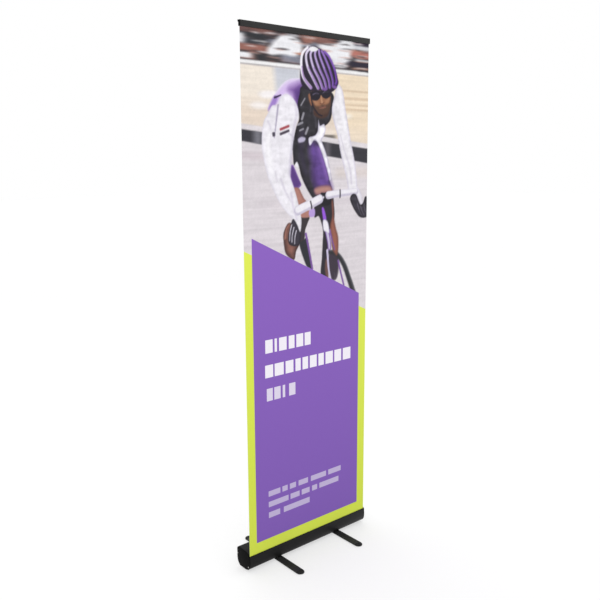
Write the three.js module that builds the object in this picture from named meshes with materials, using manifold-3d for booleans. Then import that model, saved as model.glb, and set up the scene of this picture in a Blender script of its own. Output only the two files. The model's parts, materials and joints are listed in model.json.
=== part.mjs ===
// Roll-up banner stand: a cassette with a sprung roller, a printed sheet, a three-piece pole and two swivel feet.
// Millimetres. X runs along the cassette, Y points to the back, Z is up, and the floor is z = 0.
// The origin is on the floor, midway between the two foot pivots.
import * as THREE from "three";
import { mergeVertices } from "three/addons/utils/BufferGeometryUtils.js";
import Module from "manifold-3d";

const wasm = await Module();
wasm.setup();

// ---------------------------------------------------------------- driving dimensions
const GAP = 0.3; // clearance kept between pieces that touch
const SEG = 32; // sides of a visible round piece
const FINE = 20; // sides of a small round piece

const PRINT_WIDTH = 600;
const PRINT_SHOWN = 1900; // from the cassette's front lip to the underside of the top rail
const PRINT_THICK = 0.5;
const PRINT_Y = -42.75; // middle of the sheet

const FOOT_LENGTH = 360;
const FOOT_WIDTH = 33;
const FOOT_TOP = 6.5;
const FOOT_BOTTOM = 2.3;
const FOOT_WALL = 1.5;
const FOOT_PIVOT_X = 154;
const FOOT_TIP_LENGTH = 22;
const PAD_RADIUS = 9;

const KEEL_Z = 7.3; // underside of the cassette's keel
const BELLY_Z = 10; // underside of the cassette beside the keel
const LIP_Z = 67; // top of the cassette's front lip
const CROWN_Z = 81.2; // flat top of the cassette
const WALL = 1.6;
const CASSETTE_LENGTH = 602;
const CAP_THICK = 2.8;

const ROLLER_Y = -17;
const ROLLER_Z = 34.6;
const ROLLER_RADIUS = 12.5;
const ROLLER_WALL = 1.2;
const ROLLER_LENGTH = 594;
const WRAP_RADIUS = 14.3;

const ARBOR_HALF = 3; // half the side of the square arbor
const IDLER_RADIUS = 3;
const PIVOT_RADIUS = 3.7;

const SOCKET_RADIUS = 9.9;
const POLE_Y = 14;
const POLE_RADIUS = 7.5;
const POLE_WALL = 1;
const POLE_BOTTOM = 38.5;
const POLE_TOP = 1984.4;
const FERRULE_REACH = 60; // length of a ferrule inside each tube

const RAIL_Z = LIP_Z + PRINT_SHOWN; // underside of the top rail
const RAIL_HEIGHT = 20;
const RAIL_FRONT = -48;
const RAIL_BACK = -38;
const RAIL_TOP = RAIL_Z + RAIL_HEIGHT;

// ---------------------------------------------------------------- materials
const finish = (color, roughness, metalness = 0) =>
  new THREE.MeshStandardMaterial({ color, roughness, metalness });

const blackAnodised = finish(0x2c2c2c, 0.45, 0.6);
const greyAnodised = finish(0x404040, 0.45, 0.6);
const blackPlastic = finish(0x191919, 0.55);
const printedFilm = finish(0x7f57ad, 0.5);
const leaderFilm = finish(0xd8d8d4, 0.45);
const mill = finish(0xb9bbbd, 0.35, 0.9);
const steel = finish(0x8c8f92, 0.35, 1);
const nylon = finish(0xdad7cc, 0.6);
const rubber = finish(0x111111, 0.9);
const elastic = finish(0x202028, 0.8);

// ---------------------------------------------------------------- geometry helpers
const stand = new THREE.Group();

function add(name, geometry, material, parent = stand) {
  const mesh = new THREE.Mesh(geometry, material);
  mesh.name = name;
  parent.add(mesh);
  return mesh;
}

// A closed geometry as a manifold-3d solid.
function solid(geometry) {
  const bare = geometry.clone();
  bare.deleteAttribute("normal");
  bare.deleteAttribute("uv");
  const merged = mergeVertices(bare, 1e-4);
  return new wasm.Manifold(
    new wasm.Mesh({
      numProp: 3,
      vertProperties: new Float32Array(merged.attributes.position.array),
      triVerts: new Uint32Array(merged.index.array),
    }),
  );
}

// A manifold-3d solid as a geometry.
function geometryOf(body) {
  const mesh = body.getMesh();
  const geometry = new THREE.BufferGeometry();
  geometry.setAttribute("position", new THREE.BufferAttribute(mesh.vertProperties, 3));
  geometry.setIndex(new THREE.BufferAttribute(mesh.triVerts, 1));
  geometry.computeVertexNormals();
  return geometry;
}

const join = (first, ...rest) =>
  geometryOf(rest.reduce((whole, piece) => whole.add(solid(piece)), solid(first)));
const cut = (first, ...rest) =>
  geometryOf(rest.reduce((whole, piece) => whole.subtract(solid(piece)), solid(first)));

// A box between two corners.
function block(x0, x1, y0, y1, z0, z1) {
  return new THREE.BoxGeometry(x1 - x0, y1 - y0, z1 - z0).translate(
    (x0 + x1) / 2,
    (y0 + y1) / 2,
    (z0 + z1) / 2,
  );
}

// Round bars along each axis, between two ends.
const barX = (radius, x0, x1, y, z, sides = FINE) =>
  new THREE.CylinderGeometry(radius, radius, x1 - x0, sides)
    .rotateZ(Math.PI / 2)
    .translate((x0 + x1) / 2, y, z);
const barY = (radius, y0, y1, x, z, sides = FINE) =>
  new THREE.CylinderGeometry(radius, radius, y1 - y0, sides).translate(x, (y0 + y1) / 2, z);
const barZ = (radius, z0, z1, x, y, sides = FINE) =>
  new THREE.CylinderGeometry(radius, radius, z1 - z0, sides)
    .rotateX(Math.PI / 2)
    .translate(x, y, (z0 + z1) / 2);

// A turned piece about a vertical axis: [radius, z] pairs from the bottom up, closed on themselves or on the axis.
function turned(profile, x, y, sides = FINE) {
  const points = profile.map(([radius, z]) => new THREE.Vector2(radius, z));
  return new THREE.LatheGeometry(points, sides).rotateX(Math.PI / 2).translate(x, y, 0);
}

const tube = (outer, inner, z0, z1, x, y, sides = SEG) =>
  turned([[inner, z0], [outer, z0], [outer, z1], [inner, z1], [inner, z0]], x, y, sides);

// A section drawn in Y and Z, extruded along X.
function prismX(shape, x0, x1) {
  const turn = new THREE.Matrix4().makeBasis(
    new THREE.Vector3(0, 1, 0),
    new THREE.Vector3(0, 0, 1),
    new THREE.Vector3(1, 0, 0),
  );
  return new THREE.ExtrudeGeometry(shape, { depth: x1 - x0, bevelEnabled: false, curveSegments: 8 })
    .applyMatrix4(turn)
    .translate(x0, 0, 0);
}

// A plan drawn in X and Y, extruded upwards.
const slabZ = (shape, z0, z1) =>
  new THREE.ExtrudeGeometry(shape, { depth: z1 - z0, bevelEnabled: false, curveSegments: 8 })
    .translate(0, 0, z0);

// The points of a path moved to its right by a distance, mitred at its corners.
function offsetRight(points, distance) {
  return points.map((point, i) => {
    const before = point.clone().sub(points[Math.max(i - 1, 0)]);
    const after = points[Math.min(i + 1, points.length - 1)].clone().sub(point);
    if (i === 0) before.copy(after);
    if (i === points.length - 1) after.copy(before);
    before.normalize();
    after.normalize();
    const mid = before.clone().add(after).normalize();
    const reach = distance / mid.dot(after);
    return new THREE.Vector2(point.x + mid.y * reach, point.y - mid.x * reach);
  });
}

// ---------------------------------------------------------------- cassette
const SLOT_BACK = [-41.2, 68.6]; // where the crown ends, behind the sheet
const FRONT_LIP = [-45, LIP_Z];
const KEEL_FRONT = -26;
const KEEL_BACK = 18;
const BACK_Y = 34;
const BULGE_Y = -47.2;

// The outside of the section, from the slot over the crown, down the back and up the front to the lip.
function cassetteOutline() {
  const path = new THREE.Path();
  path.moveTo(...SLOT_BACK);
  path.quadraticCurveTo(-33, CROWN_Z - 2, -10, CROWN_Z);
  path.lineTo(24, CROWN_Z);
  path.quadraticCurveTo(BACK_Y, CROWN_Z, BACK_Y, CROWN_Z - 12);
  path.lineTo(BACK_Y, 46);
  path.quadraticCurveTo(BACK_Y, 26, 26, 16);
  path.lineTo(20, BELLY_Z);
  path.lineTo(KEEL_BACK, BELLY_Z);
  path.lineTo(KEEL_BACK, KEEL_Z);
  path.lineTo(KEEL_FRONT, KEEL_Z);
  path.lineTo(KEEL_FRONT, BELLY_Z);
  path.lineTo(-34, BELLY_Z);
  path.quadraticCurveTo(-46.5, 15.6, BULGE_Y, 40.6);
  path.quadraticCurveTo(BULGE_Y, 55.6, ...FRONT_LIP);
  return path.getPoints(8);
}

const CAP_SCREWS = [
  [29.6, 54.6],
  [-39.6, 23.6],
]; // Y and Z of the screw ports
const SCREW_RADIUS = 1.5;

function cassetteBody() {
  const outside = cassetteOutline();
  const inside = offsetRight(outside, WALL);
  const half = CASSETTE_LENGTH / 2;
  const shell = solid(prismX(new THREE.Shape([...outside, ...inside.reverse()]), -half, half));
  const ports = CAP_SCREWS.map(([y, z]) => solid(barX(3.2, -half, half, y, z, 16)));
  const bores = CAP_SCREWS.map(([y, z]) =>
    solid(barX(SCREW_RADIUS + GAP, -half - 1, half + 1, y, z, 12)),
  );
  let body = ports.reduce((whole, port) => whole.add(port), shell);
  body = bores.reduce((whole, bore) => whole.subtract(bore), body);
  body = body.subtract(solid(barZ(SOCKET_RADIUS + GAP, CROWN_Z - 5, CROWN_Z + 5, 0, POLE_Y)));
  for (const side of [-1, 1]) {
    const pivotHole = barZ(PIVOT_RADIUS + GAP, KEEL_Z - 1, KEEL_Z + 4, side * FOOT_PIVOT_X, 0);
    body = body.subtract(solid(pivotHole));
  }
  return geometryOf(body);
}

// An end cap: a plate with the cassette's outline, two tongues that plug into it and a boss for the roller.
function endCap(side, bossBore) {
  const inner = CASSETTE_LENGTH / 2 + GAP;
  const span = (from, to) => (side > 0 ? [from, to] : [-to, -from]);
  const plate = prismX(new THREE.Shape(cassetteOutline()), ...span(inner, inner + CAP_THICK));
  const root = inner + CAP_THICK / 2; // tongues and boss start inside the plate
  const backTongue = block(...span(inner - 6, root), 29, 31.4, 39, 49.5);
  const keelTongue = block(...span(inner - 6, root), -20, 12, KEEL_Z + 2, KEEL_Z + 5.6);
  const boss = barX(6.4, ...span(inner - 5, root), ROLLER_Y, ROLLER_Z);
  const bore = barX(bossBore, ...span(inner - 6, inner - 0.4), ROLLER_Y, ROLLER_Z);
  const screwHoles = CAP_SCREWS.map(([y, z]) =>
    barX(SCREW_RADIUS + GAP, ...span(inner - 1, inner + 5), y, z, 12),
  );
  return cut(join(plate, backTongue, keelTongue, boss), bore, ...screwHoles);
}

// A pan-head screw that fixes an end cap into a port.
function capScrew(side, [y, z]) {
  const face = CASSETTE_LENGTH / 2 + GAP + CAP_THICK + GAP;
  const span = (from, to) => (side > 0 ? [from, to] : [-to, -from]);
  const head = barX(2.9, ...span(face, face + 1.2), y, z, 16);
  const shank = barX(SCREW_RADIUS, ...span(face - 14, face + 0.6), y, z, 12);
  const recess = barX(1.2, ...span(face + 0.5, face + 2), y, z, 6);
  return cut(join(head, shank), recess);
}

add("cassette_body", cassetteBody(), blackAnodised);
for (const [side, word] of [[-1, "left"], [1, "right"]]) {
  const bossBore = side < 0 ? ARBOR_HALF * Math.SQRT2 + GAP : IDLER_RADIUS + GAP;
  add(`end_cap_${word}`, endCap(side, bossBore), blackPlastic);
  CAP_SCREWS.forEach((place, i) =>
    add(`cap_screw_${word}_${["back", "front"][i]}`, capScrew(side, place), steel),
  );
}

// The pole socket: a flanged blind bush in the crown.
const SOCKET_FLOOR = POLE_BOTTOM - GAP;
const socketProfile = [
  [0, SOCKET_FLOOR - 2.5],
  [SOCKET_RADIUS, SOCKET_FLOOR - 2.5],
  [SOCKET_RADIUS, CROWN_Z + GAP],
  [12, CROWN_Z + GAP],
  [11.4, CROWN_Z + 2.3],
  [POLE_RADIUS + 0.9, CROWN_Z + 2.3],
  [POLE_RADIUS + 0.4, CROWN_Z + 1.8],
  [POLE_RADIUS + 0.4, SOCKET_FLOOR],
  [0, SOCKET_FLOOR],
];
add("pole_socket", turned(socketProfile, 0, POLE_Y, SEG), blackPlastic);

// ---------------------------------------------------------------- roller
const TUBE_INSIDE = ROLLER_RADIUS - ROLLER_WALL;
const PLUG_RADIUS = TUBE_INSIDE - GAP;

const hollowX = (outer, inner, x0, x1, sides) =>
  cut(
    barX(outer, x0, x1, ROLLER_Y, ROLLER_Z, sides),
    barX(inner, x0 - 1, x1 + 1, ROLLER_Y, ROLLER_Z, sides),
  );

const rollerHalf = ROLLER_LENGTH / 2;
add("roller_tube", hollowX(ROLLER_RADIUS, TUBE_INSIDE, -rollerHalf, rollerHalf, SEG), mill);
add("leader_wraps", hollowX(WRAP_RADIUS, ROLLER_RADIUS + GAP, -299, 299, SEG), leaderFilm);
add("roller_plug_left", hollowX(PLUG_RADIUS, 4.7, -289, -270, FINE), nylon);
add("roller_plug_right", hollowX(PLUG_RADIUS, IDLER_RADIUS + GAP, 270, 289, FINE), nylon);
add("spring_hub", barX(PLUG_RADIUS, -112, -98, ROLLER_Y, ROLLER_Z), nylon);
add("idler_pin", barX(IDLER_RADIUS, 262, 300.6, ROLLER_Y, ROLLER_Z), steel);
const arbor = block(
  -300.6, -114,
  ROLLER_Y - ARBOR_HALF, ROLLER_Y + ARBOR_HALF,
  ROLLER_Z - ARBOR_HALF, ROLLER_Z + ARBOR_HALF,
);
add("spring_arbor", arbor, steel);

// The return spring: a helix of round wire about the arbor.
class Helix extends THREE.Curve {
  constructor(radius, turns, start, end) {
    super();
    Object.assign(this, { radius, turns, start, end });
  }
  getPoint(t) {
    const angle = 2 * Math.PI * this.turns * t;
    return new THREE.Vector3(
      this.start + (this.end - this.start) * t,
      ROLLER_Y + this.radius * Math.cos(angle),
      ROLLER_Z + this.radius * Math.sin(angle),
    );
  }
}
const SPRING_TURNS = 18;
const wire = new THREE.Shape().absarc(0, 0, 0.9, 0, 2 * Math.PI);
const springGeometry = new THREE.ExtrudeGeometry(wire, {
  steps: SPRING_TURNS * 9,
  curveSegments: 5,
  bevelEnabled: false,
  extrudePath: new Helix(7.5, SPRING_TURNS, -262, -118),
});
add("roller_spring", springGeometry, steel);

// ---------------------------------------------------------------- film
const FILM_JOIN_Z = 65; // where the printed sheet is taped to its leader, just inside the slot
const printHalf = PRINT_WIDTH / 2;
const printFront = PRINT_Y - PRINT_THICK / 2;
const printBack = PRINT_Y + PRINT_THICK / 2;
const sheet = block(-printHalf, printHalf, printFront, printBack, FILM_JOIN_Z, RAIL_TOP - 6.4);
add("printed_sheet", sheet, printedFilm);

// The leader runs straight from the slot to the front of the roller, where it is tangent to the wraps.
function leaderFeed() {
  const start = new THREE.Vector2(PRINT_Y, FILM_JOIN_Z - GAP);
  const centre = new THREE.Vector2(ROLLER_Y, ROLLER_Z);
  const reach = WRAP_RADIUS + GAP + PRINT_THICK / 2;
  const toCentre = centre.clone().sub(start);
  const tangent = Math.sqrt(toCentre.lengthSq() - reach ** 2);
  const heading = toCentre.angle() - Math.asin(reach / toCentre.length());
  const along = new THREE.Vector2(Math.cos(heading), Math.sin(heading));
  const end = start.clone().addScaledVector(along, tangent);
  const side = new THREE.Vector2(-along.y, along.x).multiplyScalar(PRINT_THICK / 2);
  const corners = [
    start.clone().add(side),
    start.clone().sub(side),
    end.clone().sub(side),
    end.clone().add(side),
  ];
  return prismX(new THREE.Shape(corners), -printHalf, printHalf);
}
add("leader_film", leaderFeed(), leaderFilm);

// ---------------------------------------------------------------- feet
// A foot is a downward-open channel along Y with a rounded plastic tip and a rubber pad at each end.
function footBar() {
  const half = FOOT_WIDTH / 2;
  const round = 1.6;
  const inner = half - FOOT_WALL;
  const section = new THREE.Shape();
  section.moveTo(-half, FOOT_BOTTOM);
  section.lineTo(-half, FOOT_TOP - round);
  section.absarc(-half + round, FOOT_TOP - round, round, Math.PI, Math.PI / 2, true);
  section.lineTo(half - round, FOOT_TOP);
  section.absarc(half - round, FOOT_TOP - round, round, Math.PI / 2, 0, true);
  section.lineTo(half, FOOT_BOTTOM);
  section.lineTo(inner, FOOT_BOTTOM);
  section.lineTo(inner, FOOT_TOP - FOOT_WALL);
  section.lineTo(-inner, FOOT_TOP - FOOT_WALL);
  section.lineTo(-inner, FOOT_BOTTOM);
  const reach = FOOT_LENGTH / 2 - FOOT_TIP_LENGTH;
  const channel = prismX(section, -reach, reach).rotateZ(-Math.PI / 2);
  return cut(channel, barZ(PIVOT_RADIUS + GAP, 0, FOOT_TOP + 1, 0, 0));
}

function footTip() {
  const half = FOOT_WIDTH / 2;
  const start = FOOT_LENGTH / 2 - FOOT_TIP_LENGTH + GAP;
  const plan = new THREE.Shape();
  plan.moveTo(half, start);
  plan.lineTo(half, FOOT_LENGTH / 2 - half);
  plan.absarc(0, FOOT_LENGTH / 2 - half, half, 0, Math.PI);
  plan.lineTo(-half, start);
  const nose = slabZ(plan, FOOT_BOTTOM, FOOT_TOP);
  const tongueHalf = half - FOOT_WALL - GAP;
  const tongueTop = FOOT_TOP - FOOT_WALL - GAP;
  const tongue = block(-tongueHalf, tongueHalf, start - 14, start + 2, FOOT_BOTTOM, tongueTop);
  const chamfer = turned(
    [[half - 1.4, FOOT_TOP], [half + 1.6, FOOT_TOP - 3], [half + 1.6, FOOT_TOP + 1],
      [half - 1.4, FOOT_TOP + 1], [half - 1.4, FOOT_TOP]],
    0, FOOT_LENGTH / 2 - half, SEG,
  );
  const ahead = block(-FOOT_WIDTH, FOOT_WIDTH, FOOT_LENGTH / 2 - half, FOOT_LENGTH, 0, 20);
  const trim = geometryOf(solid(chamfer).intersect(solid(ahead)));
  return cut(join(nose, tongue), trim);
}

const PIVOT_HEAD_Z = 2.6;
const PIVOT_END_Z = KEEL_Z + 5.6;
const pivotProfile = [
  [0, PIVOT_HEAD_Z],
  [7, PIVOT_HEAD_Z],
  [8, PIVOT_HEAD_Z + 0.7],
  [8, PIVOT_HEAD_Z + 1.9],
  [PIVOT_RADIUS, PIVOT_HEAD_Z + 1.9],
  [PIVOT_RADIUS, PIVOT_END_Z],
  [0, PIVOT_END_Z],
];
const WASHER_GAP = (KEEL_Z - FOOT_TOP) / 5; // above and below the washer
for (const [side, word] of [[-1, "left"], [1, "right"]]) {
  const foot = new THREE.Group();
  foot.position.x = side * FOOT_PIVOT_X;
  stand.add(foot);
  add(`foot_bar_${word}`, footBar(), blackAnodised, foot);
  for (const [turn, end] of [[Math.PI, "front"], [0, "back"]]) {
    add(`foot_tip_${word}_${end}`, footTip().rotateZ(turn), blackPlastic, foot);
    const padY = (turn ? -1 : 1) * (FOOT_LENGTH / 2 - FOOT_WIDTH / 2);
    add(`foot_pad_${word}_${end}`, barZ(PAD_RADIUS, 0, FOOT_BOTTOM - GAP, 0, padY), rubber, foot);
  }
  add(`foot_pivot_${word}`, turned(pivotProfile, 0, 0), steel, foot);
  const washer = tube(9, PIVOT_RADIUS + GAP, FOOT_TOP + WASHER_GAP, KEEL_Z - WASHER_GAP, 0, 0, FINE);
  add(`pivot_washer_${word}`, washer, nylon, foot);
  const nutFrom = KEEL_Z + WALL + GAP;
  const nut = cut(
    barZ(6.6, nutFrom, nutFrom + 3.1, 0, 0, 6),
    barZ(PIVOT_RADIUS + GAP, nutFrom - 1, nutFrom + 4, 0, 0),
  );
  add(`pivot_nut_${word}`, nut, steel, foot);
}

// ---------------------------------------------------------------- pole
const poleInside = POLE_RADIUS - POLE_WALL;
const ferruleRadius = poleInside - GAP;
const SECTION = (POLE_TOP - POLE_BOTTOM - 6) / 3; // length of one tube
const tubeStart = (i) => POLE_BOTTOM + 3 + GAP + i * SECTION;

["pole_lower", "pole_middle", "pole_upper"].forEach((name, i) => {
  const [from, to] = [tubeStart(i), tubeStart(i + 1) - GAP];
  add(name, tube(POLE_RADIUS, poleInside, from, to, 0, POLE_Y, SEG), blackAnodised);
});
["ferrule_lower", "ferrule_upper"].forEach((name, i) => {
  const middle = tubeStart(i + 1);
  const body = tube(ferruleRadius, 3.5, middle - FERRULE_REACH, middle + FERRULE_REACH, 0, POLE_Y, FINE);
  add(name, body, mill);
});
const polePlugProfile = [
  [0, POLE_BOTTOM],
  [POLE_RADIUS - 1, POLE_BOTTOM],
  [POLE_RADIUS, POLE_BOTTOM + 1],
  [POLE_RADIUS, POLE_BOTTOM + 3],
  [ferruleRadius, POLE_BOTTOM + 3],
  [ferruleRadius, POLE_BOTTOM + 15],
  [0, POLE_BOTTOM + 15],
];
add("pole_foot_plug", turned(polePlugProfile, 0, POLE_Y), blackPlastic);
const capFrom = tubeStart(3);
const poleCapProfile = [
  [0, capFrom - 15],
  [ferruleRadius, capFrom - 15],
  [ferruleRadius, capFrom],
  [POLE_RADIUS, capFrom],
  [POLE_RADIUS, POLE_TOP - 0.8],
  [POLE_RADIUS - 0.8, POLE_TOP],
  [0, POLE_TOP],
];
add("pole_top_cap", turned(poleCapProfile, 0, POLE_Y), blackPlastic);

// The elastic cord inside the pole, knotted at each end.
const cordFrom = POLE_BOTTOM + 17;
const cordTo = capFrom - 17;
const cordProfile = [
  [0, cordFrom],
  [2.9, cordFrom + 1.5],
  [2.9, cordFrom + 4],
  [1.6, cordFrom + 6],
  [1.6, cordTo - 6],
  [2.9, cordTo - 4],
  [2.9, cordTo - 1.5],
  [0, cordTo],
];
add("elastic_cord", turned(cordProfile, 0, POLE_Y, 10), elastic);

// ---------------------------------------------------------------- top rail and its clip
const RAIL_HALF = PRINT_WIDTH / 2 + 0.1;
const GROOVE_FRONT = printFront - GAP;
const GROOVE_BACK = -40.2;
const FLANGE_UNDER = RAIL_TOP - 2.5;
const FLANGE_BACK = -33;
const HOOK_LIP_Z = RAIL_TOP - 6.4; // lower edge of the flange's lip

// The outside of the rail: a rounded front, and a flange at the back with a lip for the clip.
function railOutline() {
  const round = 2.6;
  const path = new THREE.Path();
  path.moveTo(FLANGE_BACK, RAIL_TOP);
  path.lineTo(RAIL_FRONT + round, RAIL_TOP);
  path.absarc(RAIL_FRONT + round, RAIL_TOP - round, round, Math.PI / 2, Math.PI);
  path.lineTo(RAIL_FRONT, RAIL_Z + round);
  path.absarc(RAIL_FRONT + round, RAIL_Z + round, round, Math.PI, 1.5 * Math.PI);
  return path.getPoints(6);
}

function railBody() {
  const rest = [
    [GROOVE_FRONT, RAIL_Z],
    [GROOVE_FRONT, RAIL_TOP - 4.5],
    [GROOVE_BACK, RAIL_TOP - 4.5],
    [GROOVE_BACK, RAIL_Z],
    [RAIL_BACK, RAIL_Z],
    [RAIL_BACK, FLANGE_UNDER],
    [FLANGE_BACK - 1.4, FLANGE_UNDER],
    [FLANGE_BACK - 1.4, HOOK_LIP_Z],
    [FLANGE_BACK, HOOK_LIP_Z],
  ];
  const section = new THREE.Shape([
    ...railOutline(),
    ...rest.map(([y, z]) => new THREE.Vector2(y, z)),
  ]);
  const chamber = new THREE.Path();
  chamber.moveTo(RAIL_FRONT + 1.4, RAIL_Z + 3);
  chamber.lineTo(GROOVE_FRONT - 1.2, RAIL_Z + 3);
  chamber.lineTo(GROOVE_FRONT - 1.2, RAIL_TOP - 4);
  chamber.lineTo(RAIL_FRONT + 1.4, RAIL_TOP - 4);
  chamber.closePath();
  section.holes.push(chamber);
  return prismX(section, -RAIL_HALF, RAIL_HALF);
}

function railCap(side) {
  const from = RAIL_HALF + GAP;
  const span = (a, b) => (side > 0 ? [a, b] : [-b, -a]);
  const corners = [
    [RAIL_BACK, RAIL_Z],
    [RAIL_BACK, FLANGE_UNDER],
    [FLANGE_BACK, FLANGE_UNDER],
  ];
  const outline = [...railOutline(), ...corners.map(([y, z]) => new THREE.Vector2(y, z))];
  const plate = prismX(new THREE.Shape(outline), ...span(from, from + 1.3));
  const tongue = block(
    ...span(from - 8, from + 0.6),
    RAIL_FRONT + 1.4 + GAP, GROOVE_FRONT - 1.2 - GAP,
    RAIL_Z + 3 + GAP, RAIL_TOP - 4 - GAP,
  );
  return join(plate, tongue);
}

add("rail_body", railBody(), greyAnodised);
const wedge = block(-printHalf, printHalf, printBack + GAP, GROOVE_BACK - GAP, RAIL_Z + 1.5, RAIL_TOP - 6);
add("rail_wedge", wedge, nylon);
add("rail_cap_left", railCap(-1), blackPlastic);
add("rail_cap_right", railCap(1), blackPlastic);

// The clip: a head in the rail's lip, an arm, and a collar round the pole with a thumb screw.
const CLIP_LOW = RAIL_TOP - 14;
const CLIP_HIGH = HOOK_LIP_Z - GAP;
const COLLAR_RADIUS = 11.5;
const KNOB_Z = (CLIP_LOW + CLIP_HIGH) / 2;

function railClip() {
  const headFront = RAIL_BACK + GAP;
  const arm = new THREE.Shape();
  arm.moveTo(-19, headFront);
  arm.lineTo(19, headFront);
  arm.lineTo(19, FLANGE_BACK + 3);
  arm.quadraticCurveTo(11, -18, 8.5, POLE_Y - 6);
  arm.lineTo(-8.5, POLE_Y - 6);
  arm.quadraticCurveTo(-11, -18, -19, FLANGE_BACK + 3);
  const head = block(
    -19, 19,
    headFront, FLANGE_BACK - 1.4 - GAP,
    CLIP_LOW + 1, FLANGE_UNDER - GAP,
  );
  return cut(
    join(
      slabZ(arm, CLIP_LOW, CLIP_HIGH),
      head,
      barZ(COLLAR_RADIUS, CLIP_LOW, CLIP_HIGH, 0, POLE_Y, SEG),
      block(-5, 5, POLE_Y + 9, POLE_Y + COLLAR_RADIUS + 2, CLIP_LOW, CLIP_HIGH),
    ),
    barZ(POLE_RADIUS + 0.4, CLIP_LOW - 1, CLIP_HIGH + 1, 0, POLE_Y, SEG),
    barY(2.5 + GAP, POLE_Y, POLE_Y + 20, 0, KNOB_Z, 16),
  );
}
add("rail_clip", railClip(), blackPlastic);

// The thumb screw: a lobed knob on a short threaded shank that points at the pole.
function clipKnob() {
  const lobes = 6;
  const outline = [];
  for (let i = 0; i < 36; i++) {
    const angle = (i / 36) * 2 * Math.PI;
    const radius = 5.4 + 0.6 * Math.cos(lobes * angle);
    outline.push(new THREE.Vector2(radius * Math.cos(angle), radius * Math.sin(angle)));
  }
  const from = POLE_Y + COLLAR_RADIUS + 2 + GAP;
  const knob = new THREE.ExtrudeGeometry(new THREE.Shape(outline), { depth: 7, bevelEnabled: false })
    .rotateX(-Math.PI / 2)
    .translate(0, from, KNOB_Z);
  return join(knob, barY(2.5, POLE_Y + POLE_RADIUS + 0.4, from + 1, 0, KNOB_Z, 16));
}
add("clip_knob", clipKnob(), blackPlastic);

export default stand;
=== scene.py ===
import json
from math import cos, pi, radians, sin

import bpy
import numpy as np
from mathutils import Matrix, Vector


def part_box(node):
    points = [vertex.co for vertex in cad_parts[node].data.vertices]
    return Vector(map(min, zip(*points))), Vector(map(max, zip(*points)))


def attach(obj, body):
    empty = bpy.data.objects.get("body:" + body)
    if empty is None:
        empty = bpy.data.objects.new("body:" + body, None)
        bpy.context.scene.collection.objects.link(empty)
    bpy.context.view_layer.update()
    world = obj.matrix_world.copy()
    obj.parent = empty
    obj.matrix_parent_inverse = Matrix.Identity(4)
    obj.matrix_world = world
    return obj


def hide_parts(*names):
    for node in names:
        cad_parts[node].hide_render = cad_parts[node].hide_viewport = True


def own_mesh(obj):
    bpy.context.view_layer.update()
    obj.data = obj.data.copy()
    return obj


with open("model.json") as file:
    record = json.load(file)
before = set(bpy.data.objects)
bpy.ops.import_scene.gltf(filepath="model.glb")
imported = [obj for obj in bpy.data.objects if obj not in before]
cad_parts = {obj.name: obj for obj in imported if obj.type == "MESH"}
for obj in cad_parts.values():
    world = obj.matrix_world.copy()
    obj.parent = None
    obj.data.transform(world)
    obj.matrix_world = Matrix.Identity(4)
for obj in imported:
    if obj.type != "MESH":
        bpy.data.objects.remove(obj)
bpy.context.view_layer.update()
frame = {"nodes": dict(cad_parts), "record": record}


# Working with objects

def letGo():
    if bpy.context.object and bpy.context.object.mode != "OBJECT":
        bpy.ops.object.mode_set(mode="OBJECT")
    bpy.ops.object.select_all(action="DESELECT")


def takeUp(piece):  # the only selected object, and the active one
    letGo()
    piece.select_set(True)
    bpy.context.view_layer.objects.active = piece
    return piece


def addModifier(piece, kind, **values):
    modifier = piece.modifiers.new(kind.title(), kind)
    for key, value in values.items():
        setattr(modifier, key, value)


def applyAll(piece):
    takeUp(piece)
    for modifier in list(piece.modifiers):
        bpy.ops.object.modifier_apply(modifier=modifier.name)
    bpy.ops.object.transform_apply(location=True, rotation=True, scale=True)


def camel(node):
    first, *rest = node.split("_")
    return first + "".join(word.title() for word in rest)


def bodyOf(node):
    bodies = frame["record"]["behaviour"]["bodies"]
    return next(body for body, nodes in bodies.items() if node in nodes)


def slotOf(node):
    rows = frame["record"]["subparts"]
    return next(row["material_slot"] for row in rows if row["node"] == node)


def fitIn(piece, node, material):  # names the piece, dresses it and lets it stand for its node
    piece.name = piece.data.name = camel(node)
    piece.data.materials.clear()
    piece.data.materials.append(material)
    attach(piece, bodyOf(node))
    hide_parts(node)
    slotOf(node)
    return piece


# Materials

class Signal:  # a shader socket that takes part in sums
    def __init__(self, recipe, socket):
        self.recipe, self.socket = recipe, socket

    def math(self, operation, *values):
        return self.recipe.node("ShaderNodeMath", {"operation": operation}, values)

    def __add__(self, other):
        return self.math("ADD", self, other)

    def __sub__(self, other):
        return self.math("SUBTRACT", self, other)

    def __rsub__(self, other):
        return self.math("SUBTRACT", other, self)

    def __mul__(self, other):
        return self.math("MULTIPLY", self, other)

    __radd__ = __add__
    __rmul__ = __mul__

    def __abs__(self):
        return self.math("ABSOLUTE", self)

    def past(self, edge, soft):  # 0 before the edge and 1 after it
        ends = {1: edge - soft / 2, 2: edge + soft / 2, 3: 0, 4: 1}
        return self.recipe.node("ShaderNodeMapRange", {"clamp": True}, {0: self, **ends})


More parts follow.
